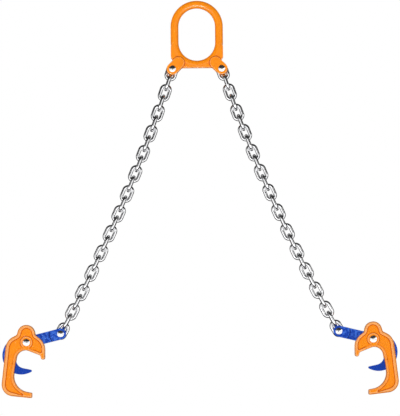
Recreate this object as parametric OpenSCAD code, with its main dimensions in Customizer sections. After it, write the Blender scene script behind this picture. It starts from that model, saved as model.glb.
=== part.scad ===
// Two-leg chain lifter with a master link and two lever-closed rim clamps.
// The origin is the hook seat, at the inside top of the eye. X runs across the legs,
// Y along the pins, Z up. The right leg is the left leg turned half a turn about Z.

/* [Master link] */
// Width of the eye's opening
eye_width = 61.3; // [56:0.1:66]
// Height of the eye's opening
eye_height = 87.8; // [80:0.1:96]
// Diameter of the eye's round bar
eye_bar = 13.2; // [11:0.1:15]
// Height of the web under the eye's opening
web_height = 12.3; // [10:0.1:14]
// Thickness of the web
web_thickness = 12.4; // [10:0.1:13]
// Height of the slanted cut at each lower corner of the web
web_corner = 17.5; // [14:0.1:20]
// Width of the slanted cut at each lower corner of the web
web_corner_width = 12; // [9:0.1:14]
// Height over which the round bar flares into the web
web_flare = 14; // [10:0.1:20]
// Radius of the round ends of a lug
lug_radius = 9.8; // [9:0.1:11]
// Length of a lug between the centres of its round ends
lug_length = 14.6; // [13:0.1:18]
// Slope of a lug down from the horizontal
lug_slope = 45; // [40:1:50]
// Thickness of each cheek of a lug
lug_cheek = 6; // [5:0.1:8]
// Distance of a top pin from the middle of the master link
top_pin_offset = 41.3; // [40:0.1:44]
// Depth of a top pin below the bottom of the web
top_pin_drop = 1.9; // [1:0.1:4]

/* [Chain] */
// Number of links in a leg, an odd number
link_count = 27; // [21:2:33]
// Diameter of the link's wire
wire = 6; // [5.4:0.1:6.6]
// Length of the link's opening
link_inner_length = 18.4; // [17.6:0.1:20]
// Width of the link's opening
link_inner_width = 8.4; // [8:0.1:9]
// Lean of the leg from the vertical, from pin to pin
leg_lean = 23.35; // [18:0.05:26]
// Turn of the slack leg from its first link to its last
leg_turn = 10.3; // [6:0.1:13]

/* [Lever] */
// Distance from the pivot pin to the chain pin
lever_length = 58.5; // [56:0.1:64]
// Slope of the lever's arm from the horizontal when the clamp is closed
lever_slope = 13.65; // [10:0.05:16]
// Thickness of the lever in the clamp's slot
lever_thickness = 10; // [8:0.1:12]
// Radius of the arm's round end
lever_end_radius = 9.2; // [8.8:0.1:10.5]
// Reach of the arm's thick end from the chain pin
lever_end_reach = 18; // [16.5:0.1:20]
// Thickness of each cheek of the arm's forked end
lever_cheek = 5; // [4:0.1:6]
// Radius of the hollow where the arm's under edge leaves the hook's mouth
under_hollow = 12; // [9:0.1:15]
// Distance of that hollow from the pivot, along the arm
under_start = 22; // [20:0.1:24]
// Radius of the hollow where the hook's back meets the arm
arm_hollow = 12; // [8:0.1:16]
// Outer radius of the hook
hook_radius = 31.7; // [30:0.1:33]
// Distance of the hook's centre behind the pivot
hook_back = 9; // [8:0.1:10]
// Depth of the hook's centre below the pivot
hook_drop = 21.5; // [20.5:0.1:22.5]
// Radius of the hook's inner curve
hook_mouth_radius = 14.8; // [14:0.1:15.6]
// Distance of the inner curve's centre behind the pivot
hook_mouth_back = 3.6; // [3:0.1:4.4]
// Depth of the inner curve's centre below the pivot
hook_mouth_drop = 28; // [27.2:0.1:28.8]
// Radius of the tip of the hook's finger
finger_tip = 2; // [1.6:0.1:2.6]
// Direction of the finger's tip from the hook's centre, below the horizontal
finger_angle = 59.4; // [57:0.1:64]

/* [Clamp body] */
// Thickness of each cheek of the body
body_cheek = 7.6; // [6:0.1:9]
// Radius of the lobe over the pivot
lobe_radius = 14.5; // [14:0.1:15.5]
// Distance of the lobe's centre behind the pivot
lobe_back = 0.5; // [0:0.1:1]
// Height of the lobe's centre above the pivot
lobe_rise = 14.9; // [14.5:0.1:16]
// Thickness of the bridge that joins the cheeks at the top of the lobe
lobe_bridge = 9.4; // [7:0.1:9.6]
// Radius of the hollow between the lobe and the back
back_hollow = 4; // [3:0.1:5]
// Radius of the hollow between the lobe and the nose
nose_hollow = 5; // [4:0.1:6]
// Radius of the shoulder at the back
back_radius = 22.5; // [21:0.1:24]
// Distance of the back of that shoulder from the pivot
back_reach = 35; // [34:0.1:37]
// Depth of that shoulder's centre below the pivot
back_drop = 10.5; // [9:0.1:12]
// Radius of the heel
heel_radius = 19.4; // [18:0.1:21]
// Distance of the back of the heel from the pivot
heel_reach = 41.8; // [40:0.1:44]
// Depth of the heel's centre below the pivot
heel_drop = 69.7; // [68.5:0.1:71]
// Distance of the toe's face ahead of the pivot
toe_reach = 8.5; // [6:0.1:11]
// Depth of the toe's sole below the pivot
toe_drop = 92.5; // [91.5:0.1:95]
// Height of the toe's face
toe_height = 9; // [8:0.1:11]
// Radius of the edge between the sole and the toe's face
sole_edge = 2; // [1.5:0.1:2.5]
// Radius of the edge at the top of the toe's face
toe_edge = 1.6; // [1.4:0.1:2]
// Radius of the window over the foot
window_radius = 26.7; // [26:0.1:27.2]
// Distance of the window's centre ahead of the pivot
window_ahead = 5.2; // [4.8:0.1:6.5]
// Depth of the window's centre below the pivot
window_drop = 56; // [55.4:0.1:56.6]
// Radius of the mouth that takes the rim
mouth_radius = 14.9; // [14.2:0.1:15.2]
// Distance of the mouth's centre behind the pivot
mouth_back = 2.2; // [1.6:0.1:2.8]
// Depth of the mouth's centre below the pivot
mouth_drop = 27.9; // [27.5:0.1:28.6]
// Radius of the nose
nose_radius = 24; // [23:0.1:25]
// Distance of the front of the nose ahead of the pivot
nose_reach = 30.5; // [29.5:0.1:32]
// Depth of the nose's centre below the pivot
nose_drop = 11.5; // [11:0.1:12.5]
// Radius of the tip of the beak
beak_tip = 3.4; // [3:0.1:3.8]
// Depth of the beak's tip below the pivot
beak_drop = 28.8; // [28:0.1:31]
// Radius of the hollow behind the beak
beak_hollow = 3; // [2.4:0.1:3.4]
// Height of that hollow's centre above the centre of the beak's tip
beak_hollow_rise = 1.4; // [1:0.1:1.8]
// Distance of the nose's solid part from the pivot, along the open arm
nose_block_start = 14; // [13:0.1:15]
// Room between the open arm and the nose's solid part
nose_block_room = 2.8; // [2.4:0.1:3.6]
// Radius of the flat boss round the pivot pin
boss_radius = 9.8; // [9:0.1:10.4]
// Slope of the back and the sole, from the parting line in to the faces
back_draft = 2.4; // [1.5:0.1:3]
// Slope of the nose, the mouth and the window, from the parting line in to the faces
front_draft = 0.8; // [0.4:0.1:1]
// Height of those slopes
draft_height = 4.5; // [3:0.1:6]
// Width of the raised border round a cheek
border = 3.4; // [3:0.1:4]
// Depth of the sunk panel in a cheek
panel_depth = 2.1; // [1:0.1:2.4]
// Radius of the sunk panel's end in the foot
panel_foot_end = 1.6; // [1.2:0.1:2]
// Direction of that end from the window's centre, below the horizontal
panel_foot_angle = 68; // [62:1:72]
// Radius of the sunk panel's end in the nose
panel_nose_end = 2; // [1.6:0.1:2.4]
// Direction of that end from the nose's centre, below the horizontal
panel_nose_angle = 15; // [10:1:18]

/* [Pins] */
// Diameter of the pins that carry the chain
chain_pin = 7; // [6.4:0.1:7.2]
// Diameter of the heads of the chain pins
chain_pin_head = 11.2; // [10.5:0.1:12.5]
// Diameter of the pivot pins
pivot_pin = 9; // [8:0.1:10]
// Diameter of the heads of the pivot pins
pivot_pin_head = 11.8; // [11:0.1:13]
// Height of a pin's domed head
head_height = 2.2; // [1.6:0.1:3]
// Height of the domed part of a head
head_dome = 1.5; // [1:0.1:1.6]

/* [Motion] */
// Outward swing of a leg about its top pin
leg_swing_out = 60; // [45:1:65]
// Inward swing of a leg about its top pin
leg_swing_in = 40; // [30:1:42]
// Turn of a lever down from its closed place, about its chain pin
lever_fold_down = 95; // [80:1:100]
// Turn of a lever up from its closed place, about its chain pin
lever_fold_up = 25; // [15:1:27]
// Turn of a lever that opens its clamp
jaw_open = 25; // [20:1:27]

/* [Clearances] */
// Gap where a link bears on a link or a pin
bearing_gap = 0.3; // [0.2:0.05:0.4]
// Gap at each side of a link in a fork
fork_gap = 0.5; // [0.4:0.05:0.8]
// Gap at each side of the lever in the body's slot
slot_gap = 0.4; // [0.3:0.05:0.6]
// Room round the lever's path in the body's slot
path_gap = 0.8; // [0.5:0.1:1]
// Room between the mouth of a fork and the second link
mouth_gap = 0.8; // [0.6:0.1:1]
// Radial clearance of a pin in the piece that holds it
held_clearance = 0.02; // [0.01:0.01:0.05]
// Radial clearance of the pivot pin in the lever
running_clearance = 0.08; // [0.05:0.01:0.1]

/* [Hidden] */
// Colours of the paints and the bright steel
orange_paint = "#ff8d1c";
blue_paint = "#2c53c6";
bright_steel = "#c3c6c9";
// Fineness of round solids, and the turn between two points of a drawn arc
$fn = 64;
arc_step = 7.5;
// Length by which a cut runs past the face that it opens
overcut = 1;
// Spare length that keeps the straight run between two drawn arcs from vanishing
run_slack = 0.5;
// Step from a round end in to the straight side beside it, so that the two cross cleanly
graze = 0.02;
// Size of a cut that is wider than any piece it meets
wide_cut = 2 * (eye_width + toe_drop);

// Master link: the round bar's centre line, the web's foot and the pin's place
eye_radius = eye_width / 2;
bar_line = eye_radius + eye_bar / 2;
eye_top = -eye_radius;
eye_bottom = eye_radius - eye_height;
web_bottom = -eye_height - web_height;
top_pin_place = [-top_pin_offset, web_bottom - top_pin_drop];
lug_top = top_pin_place + lug_length * [cos(lug_slope), sin(lug_slope)];

// Chain link: radii of its round ends, and the steps from end centre to end centre
crown_inner = link_inner_width / 2;
crown_line = crown_inner + wire / 2;
crown_outer = crown_inner + wire;
link_straight = link_inner_length - link_inner_width;
bearing_offset = crown_inner - wire / 2 - bearing_gap;
crown_step = crown_line + bearing_offset;
pin_step = crown_inner - chain_pin / 2 - bearing_gap;
group_count = (link_count + 1) / 2;

// Forks: the slot's width, the throat that a link swings in, the second link's distance
fork_slot = wire + 2 * fork_gap;
fork_throat = norm([crown_outer, pin_step + link_straight]) + bearing_gap;
lug_thickness = fork_slot + 2 * lug_cheek;
lever_end_thickness = fork_slot + 2 * lever_cheek;
second_crown = pin_step + link_straight + crown_step;
mouth_ring = crown_outer + mouth_gap;
// Half the angle that the second link's wire takes up at the mouth of a fork
mouth_margin = 20;
// Half the angle that a fork's round end spans, a little short of its straight sides
round_end = 87;

// Lean of one link from the vertical, and the way down a link that leans so far
function link_lean(i) = leg_lean + leg_turn * ((i - 1) / (link_count - 1) - 1 / 2);
function down(lean) = [-sin(lean), -cos(lean)];
// Centres of the upper and lower round ends of link i of the left leg. An edge-on link
// turns about the round ends of its face-on neighbours, so its own lean sets both steps.
function upper_crown(i) = i == 1
    ? top_pin_place + pin_step * down(link_lean(1))
    : lower_crown(i - 1) + crown_step * down(link_lean(i % 2 == 0 ? i : i - 1));
function lower_crown(i) = upper_crown(i) + link_straight * down(link_lean(i));
chain_pin_place = lower_crown(link_count) + pin_step * down(link_lean(link_count));
last_link_angle = 90 - link_lean(link_count);

// Lever, from its pivot: the way along the arm, the chain pin and the hook's centres
arm_way = [cos(lever_slope), sin(lever_slope)];
arm_side = [-arm_way[1], arm_way[0]];
lever_pin = lever_length * arm_way;
pivot_place = chain_pin_place - lever_pin;
hook_centre = [-hook_back, -hook_drop];
hook_mouth = [-hook_mouth_back, -hook_mouth_drop];
finger_way = [cos(finger_angle), -sin(finger_angle)];
finger_place = hook_centre + (hook_radius - finger_tip + run_slack / 2) * finger_way;
// The hollow's centre lies off the arm's edge by its radius, and clear of the hook's back
hollow_rise = (lever_end_radius + arm_hollow) * arm_side;
hollow_far = hook_radius + arm_hollow + run_slack;
hollow_along = (hook_centre - hollow_rise) * arm_way;
hollow_off = norm(hook_centre - hollow_rise - hollow_along * arm_way);
hollow_ahead = sqrt(pow(hollow_far, 2) - pow(hollow_off, 2));
arm_hollow_place = hollow_rise + (hollow_along + hollow_ahead) * arm_way;
under_hollow_place = under_start * arm_way - (lever_end_radius + under_hollow) * arm_side;

// Body: slot, roof of the slot under the lobe's bridge, centres of the outline's arcs
body_slot = lever_thickness + 2 * slot_gap;
body_thickness = body_slot + 2 * body_cheek;
slot_reach = norm(hook_centre) + hook_radius + path_gap;
slot_roof = lobe_rise + lobe_radius - lobe_bridge;
lobe = [-lobe_back, lobe_rise];
back = [back_radius - back_reach, -back_drop];
heel = [heel_radius - heel_reach, -heel_drop];
window = [window_ahead, -window_drop];
mouth = [-mouth_back, -mouth_drop];
nose = [nose_reach - nose_radius, -nose_drop];
beak = [nose_reach - beak_tip, beak_tip - beak_drop];
beak_throat = beak + [-beak_tip - beak_hollow - run_slack, beak_hollow_rise];
sole = [toe_reach - sole_edge, sole_edge - toe_drop];
toe = [toe_reach - toe_edge, toe_height - toe_drop - toe_edge];
// Centres of the sunk panel's round ends, in the foot and in the nose
panel_front = front_draft + border;
panel_back = back_draft + border;
panel_foot_far = window_radius + panel_front + panel_foot_end + run_slack;
panel_foot = window - panel_foot_far * [cos(panel_foot_angle), sin(panel_foot_angle)];
panel_nose_far = nose_radius - panel_front - panel_nose_end + run_slack / 2;
panel_nose = nose + panel_nose_far * [cos(panel_nose_angle), -sin(panel_nose_angle)];

leg_names = [for (k = [1:group_count]) str("chain_", k < 10 ? "0" : "", k)];
side_names = concat(["top_pin", "lever", "lever_pin", "clamp_body", "pivot_pin"], leg_names);

// The crossing of two circles that lies to the left of the way from the first to the second
function meeting(a, ra, b, rb) =
    let (run = [b[0] - a[0], b[1] - a[1]], d = norm(run), way = run / d)
    let (along = (ra * ra - rb * rb + d * d) / (2 * d), off = sqrt(ra * ra - along * along))
    [a[0], a[1]] + along * way + off * [-way[1], way[0]];

// Outline drawn round arcs in counter-clockwise order, each [x, y, radius], joined by the
// straight lines that touch both neighbours. A negative radius makes a hollow.
function arc(centre, radius) = [centre[0], centre[1], radius];
function touch_angle(a, b) =
    atan2(b[1] - a[1], b[0] - a[0]) - acos((a[2] - b[2]) / norm([b[0] - a[0], b[1] - a[1]]));
function whole_turn(angle) = angle - 360 * floor(angle / 360);
function arc_turn(from, to, radius) = radius < 0 ? -whole_turn(from - to) : whole_turn(to - from);
function full_turn(before, at, after) = arc_turn(touch_angle(before, at), touch_angle(at, after), at[2]);
function arc_steps(before, at, after) = max(1, ceil(abs(full_turn(before, at, after)) / arc_step));
function arc_points(before, at, after, steps, shift) =
    let (start = touch_angle(before, at), turn = full_turn(before, at, after))
    [for (k = [shift:steps - shift]) let (a = start + turn * k / steps)
        [at[0] + at[2] * cos(a), at[1] + at[2] * sin(a)]];
function outline(arcs) =
    let (n = len(arcs))
    [for (i = [0:n - 1]) let (h = (i + n - 1) % n, j = (i + 1) % n)
        each arc_points(arcs[h], arcs[i], arcs[j], arc_steps(arcs[h], arcs[i], arcs[j]), 0)];
// An outline beside another, with its points half-way between those of the other's arcs
function outline_beside(arcs, other) =
    let (n = len(arcs))
    [for (i = [0:n - 1]) let (h = (i + n - 1) % n, j = (i + 1) % n)
        each arc_points(arcs[h], arcs[i], arcs[j], arc_steps(other[h], other[i], other[j]), 1 / 2)];

// A flat shape drawn in X and Z, thickened evenly about the middle plane
module plate(thickness) {
    rotate([90, 0, 0])
        linear_extrude(thickness, center = true)
            children();
}

// A closed ring whose section runs through outlines of equal length, each at its own depth along Y
module ring_through(outlines, depths) {
    n = len(outlines[0]);
    rings = len(outlines);
    walls = [for (r = [0:rings - 1]) for (i = [0:n - 1])
        let (j = (i + 1) % n, q = (r + 1) % rings)
        each [[r * n + i, r * n + j, q * n + j], [r * n + i, q * n + j, q * n + i]]];
    rotate([90, 0, 0])
        polyhedron([for (r = [0:rings - 1]) for (p = outlines[r]) [p[0], p[1], depths[r]]], walls);
}

// A round bar along Y, centred on the middle plane
module cross_bar(diameter, length) {
    rotate([90, 0, 0])
        cylinder(d = diameter, h = length, center = true);
}

// Place of a point drawn in X and Z
module at(place) {
    translate([place[0], 0, place[1]])
        children();
}

// A pin with a domed head at each end, its heads flat against both cheeks
module riveted_pin(shank, head, grip) {
    dome = (head * head / 4 + head_dome * head_dome) / (2 * head_dome);
    color(bright_steel) {
        cross_bar(shank, grip);
        for (turn = [90, -90])
            rotate([turn, 0, 0])
                translate([0, 0, grip / 2])
                    intersection() {
                        cylinder(d = head, h = head_height);
                        translate([0, 0, head_height - dome])
                            sphere(r = dome);
                    }
    }
}

// The slot of a fork round its pin, and the hollow that the second link needs at its mouth
// while the first link swings between two angles. The hollow stays on the fork's round end.
module fork_cut(facing, first, last) {
    start = max(first - mouth_margin, facing - round_end);
    end = min(last + mouth_margin, facing + round_end);
    plate(fork_slot)
        circle(r = fork_throat);
    rotate([90, 0, 0])
        rotate([0, 0, start])
            rotate_extrude(angle = end - start)
                translate([second_crown, 0])
                    circle(r = mouth_ring);
}

module half_ring(start) {
    rotate([90, 0, 0])
        rotate([0, 0, start])
            rotate_extrude(angle = 180)
                translate([bar_line, 0])
                    circle(d = eye_bar);
}

// Oval eye of round bar
module eye() {
    at([0, eye_top])
        half_ring(0);
    for (side = [-1, 1])
        translate([side * bar_line, 0, eye_bottom])
            cylinder(d = eye_bar, h = eye_top - eye_bottom);
    difference() {
        at([0, eye_bottom])
            half_ring(180);
        translate([-wide_cut / 2, -wide_cut / 2, web_bottom - wide_cut])
            cube(wide_cut);
    }
}

// Flat web that fills the foot of the eye, flaring out of the round bar
module web() {
    side = bar_line + eye_bar / 2;
    foot = side - web_corner_width;
    corner = web_bottom + web_corner;
    plate(web_thickness)
        difference() {
            polygon([[-bar_line, eye_bottom + web_flare / 2], [-side, eye_bottom - web_flare / 2],
                     [-side, corner], [-foot, web_bottom], [foot, web_bottom], [side, corner],
                     [side, eye_bottom - web_flare / 2], [bar_line, eye_bottom + web_flare / 2]]);
            translate([0, eye_bottom])
                circle(r = bar_line);
            translate([-bar_line, eye_bottom])
                square([2 * bar_line, web_flare]);
        }
}

module lug() {
    run = lug_top - top_pin_place;
    plate(lug_thickness) {
        translate(top_pin_place)
            circle(r = lug_radius);
        translate(lug_top)
            circle(r = lug_radius);
        translate(top_pin_place)
            rotate(lug_slope)
                translate([0, graze - lug_radius])
                    square([lug_length, 2 * (lug_radius - graze)]);
    }
}

module lug_cut() {
    first_angle = 270 - link_lean(1);
    at(top_pin_place) {
        fork_cut(180 + lug_slope, first_angle - leg_swing_out, first_angle + leg_swing_in);
        cross_bar(chain_pin + 2 * held_clearance, lug_thickness + overcut);
    }
}

module master_link() {
    color(orange_paint)
        difference() {
            union() {
                eye();
                web();
                lug();
                other_side()
                    lug();
            }
            lug_cut();
            other_side()
                lug_cut();
        }
}

// One welded link: two round ends joined by two straight bars, its length along Z
module chain_link() {
    for (end = [1, -1])
        translate([0, 0, end * link_straight / 2])
            rotate([90, 0, 0])
                rotate([0, 0, end > 0 ? 0 : 180])
                    rotate_extrude(angle = 180)
                        translate([crown_line, 0])
                            circle(d = wire);
    for (side = [-1, 1])
        translate([side * crown_line, 0, 0])
            cylinder(d = wire, h = link_straight, center = true);
}

// Link i in its place: odd links lie face-on, even links edge-on
module placed_link(i) {
    at((upper_crown(i) + lower_crown(i)) / 2)
        rotate([0, link_lean(i), 0])
            rotate([0, 0, i % 2 == 0 ? 90 : 0])
                chain_link();
}

// The first link alone, then each edge-on link with the face-on link under it
module chain_group(k) {
    color(bright_steel)
        for (i = [max(1, 2 * k - 2):2 * k - 1])
            placed_link(i);
}

lever_arcs = [
    arc(lever_pin, lever_end_radius),
    arc(arm_hollow_place, -arm_hollow),
    arc(hook_centre, hook_radius),
    arc(finger_place, finger_tip),
    arc(hook_mouth, -hook_mouth_radius),
    arc(under_hollow_place, -under_hollow)
];

// Both faces of the lever step down to the slot's thickness beyond the arm's thick end
module thinned_faces() {
    depth = (lever_end_thickness - lever_thickness) / 2;
    for (face = [-1, 1])
        translate([0, face * (lever_end_thickness - depth + overcut) / 2, 0])
            plate(depth + overcut)
                difference() {
                    square(wide_cut, center = true);
                    translate(lever_pin)
                        circle(r = lever_end_reach);
                }
}

// Forged lever: a forked arm, a bore for the pivot pin and a hooked jaw
module lever() {
    lowest = last_link_angle - lever_fold_down;
    highest = last_link_angle + lever_fold_up;
    color(blue_paint)
        at(pivot_place)
            difference() {
                plate(lever_end_thickness)
                    polygon(outline(lever_arcs));
                thinned_faces();
                at(lever_pin) {
                    fork_cut(lever_slope, lowest, highest);
                    cross_bar(chain_pin + 2 * held_clearance, lever_end_thickness + overcut);
                }
                cross_bar(pivot_pin + 2 * running_clearance, lever_thickness + overcut);
            }
}

// Arcs of the body's upper outline, drawn in at its back and at its front
function lobe_arc(at_back, at_front) =
    arc(lobe + [(at_back - at_front) / 2, 0], lobe_radius - (at_back + at_front) / 2);
function back_arc(at_back) = arc(back, back_radius - at_back);
function heel_arc(at_back) = arc(heel, heel_radius - at_back);
function nose_arc(at_front) = arc(nose, nose_radius - at_front);
function notch_arc(a, b, hollow) =
    arc(meeting(a, a[2] + hollow + run_slack, b, b[2] + hollow + run_slack), -hollow);
function back_notch_arc(at_back, at_front) =
    notch_arc(back_arc(at_back), lobe_arc(at_back, at_front), back_hollow + at_back);
function nose_notch_arc(at_back, at_front) =
    notch_arc(lobe_arc(at_back, at_front), nose_arc(at_front), nose_hollow + at_front);

function body_arcs(at_back, at_front) = [
    lobe_arc(at_back, at_front),
    back_notch_arc(at_back, at_front),
    back_arc(at_back),
    heel_arc(at_back),
    arc(sole + [0, at_back - at_front], sole_edge - at_front),
    arc(toe, toe_edge - at_front),
    arc(window, -window_radius - at_front),
    arc(mouth, -mouth_radius - at_front),
    arc(beak_throat, -beak_hollow - at_front),
    arc(beak, beak_tip - at_front),
    nose_arc(at_front),
    nose_notch_arc(at_back, at_front)
];

panel_arcs = [
    lobe_arc(panel_back, panel_front),
    back_notch_arc(panel_back, panel_front),
    back_arc(panel_back),
    heel_arc(panel_back),
    arc(panel_foot, panel_foot_end),
    arc(window, -window_radius - panel_front),
    arc(mouth, -mouth_radius - panel_front),
    arc(panel_nose, panel_nose_end),
    nose_arc(panel_front),
    nose_notch_arc(panel_back, panel_front)
];

// What the slope takes off the edge of both faces, from the parting line outwards
module drafted_edges() {
    middle = body_arcs(0, 0);
    past = overcut / draft_height;
    low = outline_beside(body_arcs(-2 * past * back_draft, -2 * past * front_draft), middle);
    high = outline_beside(body_arcs((1 + past) * back_draft, (1 + past) * front_draft), middle);
    outside = outline_beside(body_arcs(-2 * overcut, -2 * overcut), middle);
    top = body_thickness / 2 + overcut;
    bottom = body_thickness / 2 - draft_height - 2 * overcut;
    for (face = [0, 1])
        mirror([0, face, 0])
            ring_through([low, high, outside, outside], [bottom, top, top, bottom]);
}

// Room for the lever between the cheeks, from the bridge in the lobe down to the column.
// The nose stays solid under the arm of the open lever.
module lever_slot() {
    plate(body_slot)
        difference() {
            intersection() {
                circle(r = slot_reach);
                translate([-wide_cut / 2, slot_roof - wide_cut])
                    square(wide_cut);
            }
            rotate(lever_slope - jaw_open)
                translate([nose_block_start, -lever_end_radius - nose_block_room - wide_cut])
                    square(wide_cut);
        }
}

module sunk_panels() {
    for (face = [-1, 1])
        translate([0, face * (body_thickness / 2 + overcut / 2 - panel_depth / 2), 0])
            plate(panel_depth + overcut)
                difference() {
                    polygon(outline(panel_arcs));
                    circle(r = boss_radius);
                }
}

// Cast clamp body: two cheeks, a beak, a column at the back and a foot
module clamp_body() {
    color(orange_paint)
        at(pivot_place)
            difference() {
                plate(body_thickness)
                    polygon(outline(body_arcs(0, 0)));
                drafted_edges();
                sunk_panels();
                lever_slot();
                cross_bar(pivot_pin + 2 * held_clearance, body_thickness + overcut);
            }
}

module top_pin() {
    at(top_pin_place)
        riveted_pin(chain_pin, chain_pin_head, lug_thickness);
}

module lever_chain_pin() {
    at(chain_pin_place)
        riveted_pin(chain_pin, chain_pin_head, lever_end_thickness);
}

module clamp_pivot_pin() {
    at(pivot_place)
        riveted_pin(pivot_pin, pivot_pin_head, body_thickness);
}

// The right leg is the left one turned half a turn
module other_side() {
    rotate([0, 0, 180])
        children();
}

master_link();
top_pin();  // left_top_pin
other_side() top_pin();  // right_top_pin
for (k = [1:group_count]) {
    chain_group(k);
    other_side() chain_group(k);
}
lever();  // left_lever
other_side() lever();  // right_lever
lever_chain_pin();  // left_lever_pin
other_side() lever_chain_pin();  // right_lever_pin
clamp_body();  // left_clamp_body
other_side() clamp_body();  // right_clamp_body
clamp_pivot_pin();  // left_pivot_pin
other_side() clamp_pivot_pin();  // right_pivot_pin
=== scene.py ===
import math

import bpy
from mathutils import Matrix, Vector


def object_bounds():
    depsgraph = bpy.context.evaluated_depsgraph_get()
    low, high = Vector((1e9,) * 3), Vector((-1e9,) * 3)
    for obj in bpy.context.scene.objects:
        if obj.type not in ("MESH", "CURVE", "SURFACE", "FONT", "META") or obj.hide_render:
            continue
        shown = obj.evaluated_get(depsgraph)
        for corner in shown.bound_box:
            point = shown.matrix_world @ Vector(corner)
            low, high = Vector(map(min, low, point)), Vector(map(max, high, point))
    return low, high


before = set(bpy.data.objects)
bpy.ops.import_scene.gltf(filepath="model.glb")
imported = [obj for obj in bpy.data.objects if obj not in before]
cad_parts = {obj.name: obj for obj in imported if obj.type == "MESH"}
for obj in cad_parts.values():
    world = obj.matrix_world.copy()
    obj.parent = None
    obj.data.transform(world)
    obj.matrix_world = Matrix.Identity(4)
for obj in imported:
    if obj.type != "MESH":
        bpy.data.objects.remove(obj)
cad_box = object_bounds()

# Camera: far off, straight ahead of the lifter and level with its clamps, so the lens looks
# up a little towards the eye. The picture leans by about half a degree.
MM = 0.001
picture_rows = 416
row_height = 1.66986 * MM
camera_distance = 4.6
camera_place = Vector((0, -camera_distance, -0.585))
camera_aim = Vector((0.00254, 0, -0.33532))
camera_roll = math.radians(-0.579)

camera = bpy.data.objects.new("camera", bpy.data.cameras.new("camera"))
bpy.context.scene.collection.objects.link(camera)
bpy.context.scene.camera = camera
camera.data.lens = camera.data.sensor_width * camera_distance / (picture_rows * row_height)
level = (camera_aim - camera_place).to_track_quat("-Z", "Y").to_matrix()
leaning = level @ Matrix.Rotation(camera_roll, 3, "Z")
camera.matrix_world = Matrix.Translation(camera_place) @ leaning.to_4x4()


# Master link: an oval eye of round bar that runs down into a flat web with two slanted,
# forked lugs. Forged in one piece, then sprayed orange, so its corners are soft.
class Socket:
    """An output in a material's node tree. Arithmetic on it adds Math nodes."""

    def __init__(self, tree, output=None):
        self.tree = tree
        self.output = output

    def add(self, kind, settings=None, values=None, output=0):
        """Adds any other node: its type, its settings, then its sockets' values or links."""
        node = self.tree.nodes.new("ShaderNode" + kind)
        for name, setting in (settings or {}).items():
            setattr(node, name, setting)
        for name, value in (values or {}).items():
            if isinstance(value, Socket):
                self.tree.links.new(value.output, node.inputs[name])
            else:
                node.inputs[name].default_value = value
        return Socket(self.tree, node.outputs[output] if node.outputs else None)

    def maths(self, operation, first, second):
        return self.add("Math", {"operation": operation}, {0: first, 1: second})

    def __add__(self, other):
        return self.maths("ADD", self, other)

    def __radd__(self, other):
        return self.maths("ADD", other, self)

    def __sub__(self, other):
        return self.maths("SUBTRACT", self, other)

    def __rsub__(self, other):
        return self.maths("SUBTRACT", other, self)

    def __mul__(self, other):
        return self.maths("MULTIPLY", self, other)

    def __rmul__(self, other):
        return self.maths("MULTIPLY", other, self)

    def between(self, low, high):
        """0 at low, 1 at high, and clamped outside."""
        return self.add("MapRange", {"interpolation_type": "SMOOTHSTEP"}, {
            "Value": self, "From Min": low, "From Max": high})

    def mixed(self, under, over):
        """The colour under where this mask is 0, and the colour over where it is 1."""
        # A Mix node has a socket of each name for every type, so the colours go by number
        return self.add("Mix", {"data_type": "RGBA"}, {0: self, 6: under, 7: over}, output=2)


def new_material(name):
    """An empty material, and a socket to start its tree from."""
    made = bpy.data.materials.new(name)
    made.use_nodes = True
    made.node_tree.nodes.clear()
    return made, Socket(made.node_tree)


def close_material(start, settings):
    """Ends a material in one Principled surface with these sockets."""
    surface = start.add("BsdfPrincipled", None, settings)
    start.add("OutputMaterial", None, {"Surface": surface})


def noise(start, place, scale, detail=2.0):
    """Soft noise of about so many waves to the metre."""
    return start.add("TexNoise", None, {"Vector": place, "Scale": scale, "Detail": detail})


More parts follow.
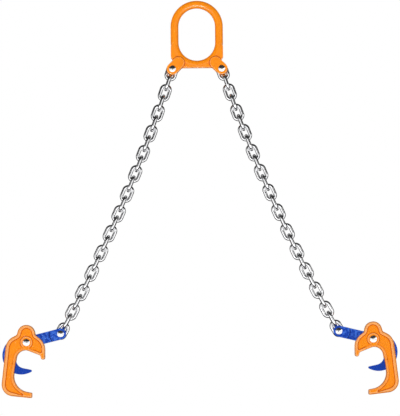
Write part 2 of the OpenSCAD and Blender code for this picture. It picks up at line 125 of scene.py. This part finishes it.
def paint(name, tone, deep_and_shade, pale_and_highlight, highlights_at, highlight_share, grain, less_shaded=(), mottle_and_light_band=None):
    """Sprayed gloss paint on rough steel, of an uneven tone, with painted shade that darkens the
    creases and makes them matt, and a painted highlight in a pale tone along pointed edges.

    highlights_at is how pointed an edge is where the painted highlight begins and where it is
    full, and highlight_share is its share. The painted highlight is fainter and the creases have
    no painted shade within the less_shaded circles, each a centre in the XZ plane, without signs,
    and a radius. mottle_and_light_band is two heights, between which a pale mottle comes in, and
    the mottle's share; the mottle is partly the paint's own unevenness and partly painted light,
    lighter higher up.
    """
    made, start = new_material(name)
    place = start.add("TexCoord", output="Object")
    pointed = start.add("NewGeometry", output="Pointiness")
    blotch = noise(start, place, scale=55)
    speck = noise(start, place, scale=700, detail=4)
    skin = noise(start, place, scale=420, detail=3)
    patch_noise = noise(start, place, scale=210, detail=1)

    # Painted shade: creases are darkened towards the deep tone and made matt. Painted highlight:
    # pointed edges are lightened towards the pale tone.
    sharp_crease, slight_crease = 0.48, 0.4992
    crease_shade = 1 - pointed.between(sharp_crease, slight_crease)
    ridge_highlight = pointed.between(*highlights_at)
    if less_shaded:
        flat = start.add("VectorMath", {"operation": "MULTIPLY"}, {0: place, 1: (1, 0, 1)})
        unsigned = start.add("VectorMath", {"operation": "ABSOLUTE"}, {0: flat})
    less_shaded_fade = 1.5 * MM
    less_shaded_highlight = 0.45
    # Within each circle the painted shade leaves the creases and the painted highlight on edges
    # fades.
    for centre, radius in less_shaded:
        away = start.add(
            "VectorMath", {"operation": "DISTANCE"}, {0: unsigned, 1: centre}, output="Value")
        beyond_circle = away.between(radius, radius + less_shaded_fade)
        crease_shade = crease_shade * beyond_circle
        ridge_highlight = ridge_highlight * (less_shaded_highlight + beyond_circle * (1 - less_shaded_highlight))

    coat = (blotch * 0.7 + speck * 0.3).between(0.35, 0.7)
    coat_depth, crease_shade_strength = 0.12, 0.9
    colour = (coat * coat_depth).mixed(tone, deep_and_shade)
    # Pale mottle above the given heights: partly the paint's unevenness, partly painted light,
    # lighter higher up.
    if mottle_and_light_band:
        low, high, share = mottle_and_light_band
        height = start.add("SeparateXYZ", None, {"Vector": place}, output="Z")
        mottle_and_light = patch_noise.between(0.42, 0.64) * height.between(low, high)
        colour = (mottle_and_light * share).mixed(colour, pale_and_highlight)
    # Painted highlight on pointed edges, then painted shade in the creases.
    colour = (ridge_highlight * highlight_share).mixed(colour, pale_and_highlight)
    colour = (crease_shade * crease_shade_strength).mixed(colour, deep_and_shade)

    bump = start.add("Bump", None, {
        "Strength": 0.5, "Distance": grain, "Height": skin * 0.7 + patch_noise * 0.6 + speck * 0.2})
    close_material(start, {
        "Base Color": colour,
        "Roughness": 0.3 + speck * 0.14 + crease_shade * 0.5,
        "Specular IOR Level": 0.18,
        "Coat Weight": (0.1 + coat * 0.08) * (1 - crease_shade),
        "Coat Roughness": 0.12,
        "Normal": bump,
    })
    return made


def dress(node, finish):
    """Gives a solid from model.glb its finish in place of its plain colour."""
    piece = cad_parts[node]
    piece.data.materials.clear()
    piece.data.materials.append(finish)
    return piece


def soften(piece, grid, passes):
    """Rounds every corner of a forged or cast piece, inside and out."""
    remesh = piece.modifiers.new("even_skin", "REMESH")
    remesh.mode = "VOXEL"
    remesh.voxel_size = grid
    remesh.use_smooth_shade = True
    smooth = piece.modifiers.new("soft_corners", "SMOOTH")
    smooth.factor = 0.5
    smooth.iterations = passes


# The deep tone gives the paint's uneven tone and the painted shade in creases; the pale tone is
# the painted highlight on edges.
orange = {
    "tone": (1.0, 0.285, 0.004, 1),
    "deep_and_shade": (0.58, 0.10, 0.0, 1),
    "pale_and_highlight": (1.0, 0.59, 0.28, 1),
}
orange_paint = paint(
    "orange_paint", **orange, highlights_at=(0.51, 0.5385), highlight_share=0.4, grain=0.35 * MM)
soften(dress("master_link", orange_paint), grid=0.6 * MM, passes=7)


# Top pins: turned steel pins through the lugs, their ends riveted over into polished domes.
# A leg's first link hangs on each.
def steel(name, tone, dark, roughness, spread, grain, scale):
    """Bare bright steel with a faint grain and slight stains."""
    made, start = new_material(name)
    place = start.add("TexCoord", output="Object")
    stain = noise(start, place, scale, detail=3)
    finer = 9
    fine = noise(start, place, scale * finer)
    tarnish = stain.between(0.45, 0.75)
    bump = start.add("Bump", None, {
        "Strength": 0.35, "Distance": grain, "Height": fine * 0.6 + stain * 0.4})
    close_material(start, {
        "Base Color": tarnish.mixed(tone, dark),
        "Metallic": 1.0,
        "Roughness": roughness + fine * spread + tarnish * spread,
        "Normal": bump,
    })
    return made


polished_steel = steel(
    "polished_steel",
    tone=(0.86, 0.86, 0.87, 1),
    dark=(0.72, 0.72, 0.74, 1),
    roughness=0.14,
    spread=0.05,
    grain=0.012 * MM,
    scale=160,
)
sides = ("left", "right")
for side in sides:
    dress(f"{side}_top_pin", polished_steel)


# Chain: short links of bent and welded round steel, zinc plated and barrel polished. They
# lie face-on and edge-on by turns.
zinc_plate = steel(
    "zinc_plate",
    tone=(0.95, 0.95, 0.96, 1),
    dark=(0.80, 0.81, 0.83, 1),
    roughness=0.12,
    spread=0.05,
    grain=0.012 * MM,
    scale=240,
)
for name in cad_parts:
    if "_chain_" in name:
        dress(name, zinc_plate)


# Levers: forged steel arms, forked at the chain's end, whose other end bends round into a
# hooked jaw. They are sprayed blue, with a pale mottle on the arms and not on the jaws that is
# partly the paint's own unevenness and partly painted light.
jaw_height = -595 * MM
arm_height = -565 * MM
# The pale mottle is painted light on the arms, leaving the jaws at the plain tone, as well as the
# paint's own unevenness.
blue_paint = paint(
    "blue_paint",
    tone=(0.002, 0.046, 0.40, 1),
    deep_and_shade=(0.001, 0.010, 0.13, 1),
    pale_and_highlight=(0.06, 0.20, 0.80, 1),
    highlights_at=(0.505, 0.5335),
    highlight_share=0.4,
    grain=0.35 * MM,
    mottle_and_light_band=(jaw_height, arm_height, 0.65),
)
for side in sides:
    soften(dress(f"{side}_lever", blue_paint), grid=0.5 * MM, passes=7)


# Lever pins: turned steel pins that join the fork of each lever to the last link of its leg.
# They are riveted over and polished like the top pins.
for side in sides:
    dress(f"{side}_lever_pin", polished_steel)


# Clamp bodies: two cheeks round a slot for the lever, each a sunk panel inside a raised border,
# with a beak over the mouth and a foot under the window. Cast in steel and sprayed orange like
# the master link, on a coarser skin. Along the mouth and the window the creases have no painted
# shade and the painted edge highlight is fainter, so the border hardly shows there.
mouth_side = ((290.9 * MM, 0, 585.1 * MM), 20.5 * MM)
window_side = ((283.5 * MM, 0, 610.0 * MM), 32.5 * MM)
cast_paint = paint(
    "cast_paint",
    **orange,
    highlights_at=(0.5015, 0.516),
    highlight_share=0.5,
    grain=0.5 * MM,
    less_shaded=[mouth_side, window_side],
)
for side in sides:
    soften(dress(f"{side}_clamp_body", cast_paint), grid=0.55 * MM, passes=14)


# Pivot pins: thicker turned pins through both cheeks of a clamp body, on which the lever
# turns. They are riveted over and polished like the others.
for side in sides:
    dress(f"{side}_pivot_pin", polished_steel)


# Studio: a pale floor well under the hanging lifter, white all round, and large soft lamps at
# its front, back and sides. Dark cards, which only gloss and bright metal show, shape what the
# chain reflects. A low strip lamp draws the gleam along the master link's eye.
def flat_sheet(name, corners):
    """A four-cornered sheet that belongs to the studio."""
    mesh = bpy.data.meshes.new(name)
    mesh.from_pydata(corners, [], [(0, 1, 2, 3)])
    sheet = bpy.data.objects.new(name, mesh)
    bpy.context.scene.collection.objects.link(sheet)
    return sheet


def shown(start):
    """1 for what the lens, bright metal and glass see, and 0 for light on matt faces."""
    lens = start.add("LightPath", output="Is Camera Ray")
    metal = start.add("LightPath", output="Is Glossy Ray")
    glass = start.add("LightPath", output="Is Transmission Ray")
    return start.maths("MAXIMUM", start.maths("MAXIMUM", lens, metal), glass)


floor_drop = 1.25
floor_half = 8
floor = flat_sheet("floor", [
    (-floor_half, -floor_half, -floor_drop), (floor_half, -floor_half, -floor_drop),
    (floor_half, floor_half, -floor_drop), (-floor_half, floor_half, -floor_drop)])
floor_finish, floor_start = new_material("pale_floor")
close_material(floor_start, {
    "Base Color": (0.93, 0.93, 0.93, 1),
    "Roughness": 0.9,
    "Specular IOR Level": 0.1,
    "Emission Color": shown(floor_start).mixed((0, 0, 0, 1), (0.7, 0.7, 0.7, 1)),
    "Emission Strength": 1.0,
})
floor.data.materials.append(floor_finish)

world = bpy.data.worlds.new("studio")
world.use_nodes = True
world.node_tree.nodes.clear()
bpy.context.scene.world = world
world_start = Socket(world.node_tree)
room_light = 0.25
background = world_start.add("Background", None, {
    "Color": (1, 1, 1, 1), "Strength": room_light + shown(world_start) * (1 - room_light)})
world_start.add("OutputWorld", None, {"Surface": background})


def card(name, corners, grey=0.04):
    """A sheet that only gloss and bright metal show, as an even grey."""
    finish, start = new_material(name)
    close_material(start, {
        "Base Color": (0, 0, 0, 1),
        "Specular IOR Level": 0.0,
        "Emission Color": (grey, grey, grey, 1),
        "Emission Strength": 1.0,
    })
    sheet = flat_sheet(name, corners)
    sheet.data.materials.append(finish)
    sheet.visible_camera = False
    sheet.visible_diffuse = False
    sheet.visible_transmission = False
    sheet.visible_shadow = False


box_front = -0.5
box_back = 2.2
box_low = floor_drop * -0.95
box_high = 2.4
box_half = 1.2
card("back_card", [
    (-box_half, box_back, box_low), (box_half, box_back, box_low),
    (box_half, box_back, box_high), (-box_half, box_back, box_high)], grey=0.3)
signs = {"left": -1, "right": 1}
for side, sign in signs.items():
    box_side = sign * box_half
    card(f"{side}_card", [
        (box_side, box_front, box_low), (box_side, box_back, box_low),
        (box_side, box_back, box_high), (box_side, box_front, box_high)])
card("low_card", [
    (-box_half, box_front, box_low), (box_half, box_front, box_low),
    (box_half, box_back, box_low), (-box_half, box_back, box_low)])

overhead_front = -3.0
overhead_low = 0.15
overhead_half = 2.5
card("overhead_card", [
    (-overhead_half, overhead_front, overhead_low), (overhead_half, overhead_front, overhead_low),
    (overhead_half, box_back, box_high), (-overhead_half, box_back, box_high)])
lens_card_low = -1.2
lens_card_half = 0.3
card("lens_card", [
    (-lens_card_half, overhead_front, lens_card_low),
    (lens_card_half, overhead_front, lens_card_low),
    (lens_card_half, overhead_front, overhead_low),
    (-lens_card_half, overhead_front, overhead_low)])


def soft_lamp(name, place, aim, size, power, shades=True, gleams=True):
    """An area lamp that can be kept out of the matt shading or out of the gloss."""
    lamp = bpy.data.objects.new(name, bpy.data.lights.new(name, "AREA"))
    bpy.context.scene.collection.objects.link(lamp)
    lamp.data.shape = "RECTANGLE"
    lamp.data.size, lamp.data.size_y = size
    lamp.data.energy = power
    lamp.visible_camera = False
    lamp.visible_diffuse = shades
    lamp.visible_glossy = gleams
    lamp.location = place
    lamp.rotation_mode = "QUATERNION"
    lamp.rotation_quaternion = (Vector(aim) - Vector(place)).to_track_quat("-Z", "Y")
    return lamp


middle = (cad_box[0] + cad_box[1]) / 2
reach = 4.2
wide = (1.4, 1.4)
soft_lamp("key_lamp", (-0.7, -reach, 0.0), middle, wide, power=103, gleams=False)
soft_lamp("back_lamp", (0.7, reach, 0.4), middle, wide, power=90, gleams=False)
soft_lamp("fill_lamp", (2.2, -2.2, 0.4), middle, size=(1.6, 1.6), power=8)
for side, sign in signs.items():
    soft_lamp(f"{side}_lamp", (sign * reach, 0.0, 0.2), middle, wide, power=24, gleams=False)

hook_seat = (0, 0, 0)
eye_lamp = soft_lamp(
    "eye_lamp", (0, -1.3, -1.1), hook_seat, size=(1.5, 0.5), power=90, shades=False)
eye_only = bpy.data.collections.new("eye_only")
eye_only.objects.link(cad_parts["master_link"])
eye_lamp.light_linking.receiver_collection = eye_only

bpy.context.scene.view_settings.view_transform = "Standard"
